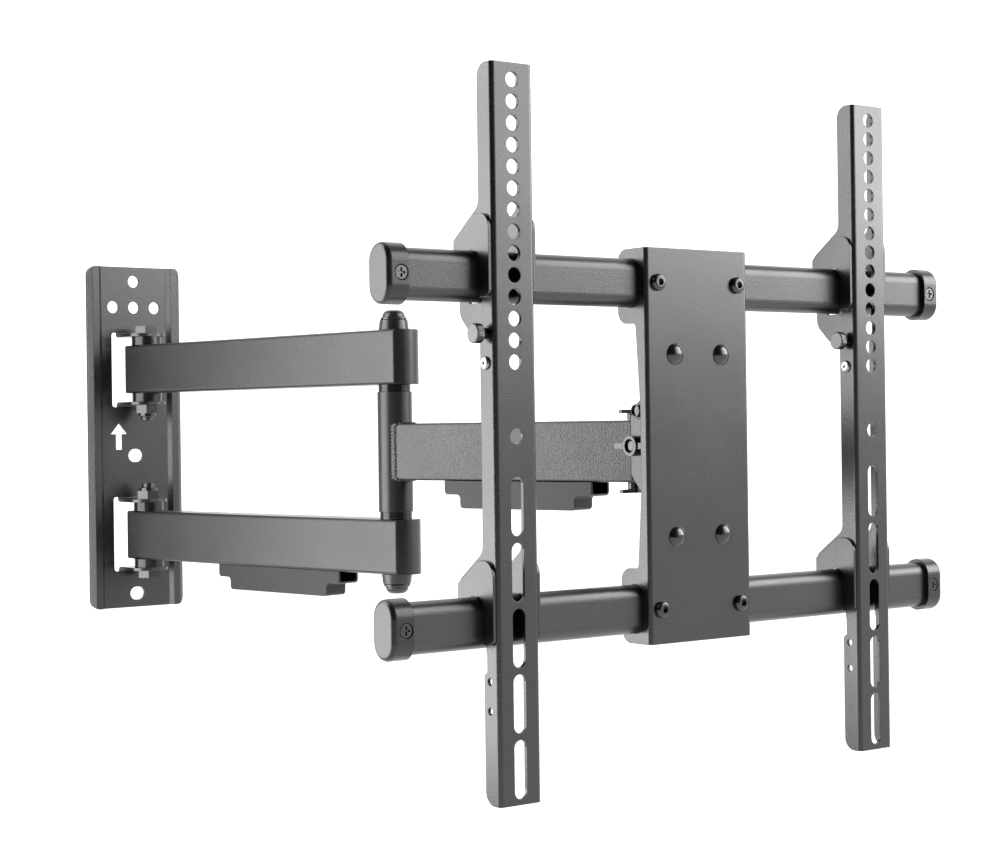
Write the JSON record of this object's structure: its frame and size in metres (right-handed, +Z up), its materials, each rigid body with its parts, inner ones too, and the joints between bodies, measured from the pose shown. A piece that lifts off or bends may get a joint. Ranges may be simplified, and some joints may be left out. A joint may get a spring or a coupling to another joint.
{
  "type": "full motion screen wall mount",
  "caption": "Articulated wall mount for a flat screen: slotted wall plate, stacked arms, elbow, forearm, swivel and tilt head, cross tubes and hook rails.",
  "frame": {"origin": "middle of the wall plate's back face, where it meets the wall", "axes": "+X along the wall to the right as seen from the room, +Y into the wall, +Z up"},
  "size_m": [0.4538, 0.586, 0.427],
  "materials": {
    "powder_coat": "satin black powder coat with a fine grain",
    "black_fastener": "glossy black plated steel",
    "bright_zinc": "bright zinc",
    "black_plastic": "matt black moulded plastic",
    "black_nylon": "black nylon"
  },
  "bodies": {
    "wall_bracket": {"wall_plate": "powder_coat", "wall_pivot_bolts": "black_fastener", "wall_pivot_nuts": "black_fastener"},
    "wall_arms": {"upper_wall_arm": "powder_coat", "lower_wall_arm": "powder_coat", "wall_end_plugs": "black_plastic", "elbow_end_plugs": "black_plastic", "wall_pivot_bushes": "black_nylon", "elbow_bolt": "black_fastener", "elbow_dome_nut": "black_fastener", "elbow_washers": "black_fastener", "elbow_collars": "black_nylon", "elbow_thrust_washers": "black_nylon", "lower_arm_cable_clip": "black_plastic"},
    "forearm": {"elbow_pipe": "powder_coat", "elbow_bushes": "black_nylon", "forearm_tube": "powder_coat", "forearm_cable_clip": "black_plastic"},
    "head": {"swivel_barrel": "powder_coat", "tilt_yoke": "powder_coat", "tilt_friction_washers": "black_nylon", "tilt_bolt": "black_fastener", "swivel_stud": "black_fastener"},
    "screen_frame": {"tilt_lock_bolt": "black_fastener", "tilt_bracket": "powder_coat", "centre_plate": "powder_coat", "carriage_bolts": "black_fastener", "carriage_nuts": "black_fastener", "tube_screws": "black_fastener", "upper_tube": "powder_coat", "lower_tube": "powder_coat", "tube_end_caps": "black_plastic", "cap_screws": "black_fastener"},
    "tilt_knob": {"tilt_knob": "black_plastic"},
    "tilt_lock_knob": {"tilt_lock_knob": "black_plastic"},
    "swivel_knob_top": {"swivel_knob_top": "black_plastic"},
    "swivel_knob_bottom": {"swivel_knob_bottom": "black_plastic"},
    "left_rail": {"left_rail": "powder_coat", "left_hook_plates": "powder_coat", "left_latch_rivet": "bright_zinc"},
    "left_latch": {"left_latch": "powder_coat"},
    "left_thumb_screw": {"left_thumb_screw": "black_fastener"},
    "right_rail": {"right_rail": "powder_coat", "right_hook_plates": "powder_coat", "right_latch_rivet": "bright_zinc"},
    "right_latch": {"right_latch": "powder_coat"},
    "right_thumb_screw": {"right_thumb_screw": "black_fastener"}
  },
  "joints": [
    {"name": "wall_swing", "type": "hinge", "parent": "wall_bracket", "child": "wall_arms", "pos_m": [0, -0.0246, -0.01215], "axis": [0, 0, 1], "range_deg": [-99.5, 80.4]},
    {"name": "elbow_fold", "type": "hinge", "parent": "wall_arms", "child": "forearm", "pos_m": [0.04908, -0.316, -0.01215], "axis": [0, 0, -1], "range_deg": [-120, 120]},
    {"name": "head_swivel", "type": "hinge", "parent": "forearm", "child": "head", "pos_m": [0.09982, -0.51802, -0.01215], "axis": [0, 0, 1], "range_deg": [-30.9, 59.1]},
    {"name": "screen_tilt", "type": "hinge", "parent": "head", "child": "screen_frame", "pos_m": [0.09982, -0.55702, -0.0081], "axis": [1, 0, 0], "range_deg": [-5, 15]},
    {"name": "tilt_knob_turn", "type": "hinge", "parent": "head", "child": "tilt_knob", "pos_m": [0.06982, -0.55702, -0.0081], "axis": [-1, 0, 0], "range_deg": [-180, 180]},
    {"name": "tilt_lock_knob_turn", "type": "hinge", "parent": "screen_frame", "child": "tilt_lock_knob", "pos_m": [0.06982, -0.55852, 0.0137], "axis": [-1, 0, 0], "range_deg": [-180, 180]},
    {"name": "swivel_knob_top_turn", "type": "hinge", "parent": "head", "child": "swivel_knob_top", "pos_m": [0.09982, -0.51802, 0.01185], "axis": [0, 0, 1], "range_deg": [-180, 180]},
    {"name": "swivel_knob_bottom_turn", "type": "hinge", "parent": "head", "child": "swivel_knob_bottom", "pos_m": [0.09982, -0.51802, -0.03615], "axis": [0, 0, -1], "range_deg": [-180, 180]},
    {"name": "left_rail_slide", "type": "slide", "parent": "screen_frame", "child": "left_rail", "axis": [1, 0, 0], "range_m": [-0.044, 0.084]},
    {"name": "left_latch_turn", "type": "hinge", "parent": "left_rail", "child": "left_latch", "pos_m": [-0.05798, -0.57752, 0.0416], "axis": [-1, 0, 0], "range_deg": [0, 75]},
    {"name": "left_thumb_screw_turn", "type": "hinge", "parent": "left_rail", "child": "left_thumb_screw", "pos_m": [-0.06618, -0.57752, 0.0586], "axis": [-1, 0, 0], "range_deg": [-180, 180]},
    {"name": "right_rail_slide", "type": "slide", "parent": "screen_frame", "child": "right_rail", "axis": [1, 0, 0], "range_m": [-0.082, 0.042]},
    {"name": "right_latch_turn", "type": "hinge", "parent": "right_rail", "child": "right_latch", "pos_m": [0.23772, -0.57752, 0.0416], "axis": [-1, 0, 0], "range_deg": [0, 75]},
    {"name": "right_thumb_screw_turn", "type": "hinge", "parent": "right_rail", "child": "right_thumb_screw", "pos_m": [0.22952, -0.57752, 0.0586], "axis": [-1, 0, 0], "range_deg": [-180, 180]}
  ]
}
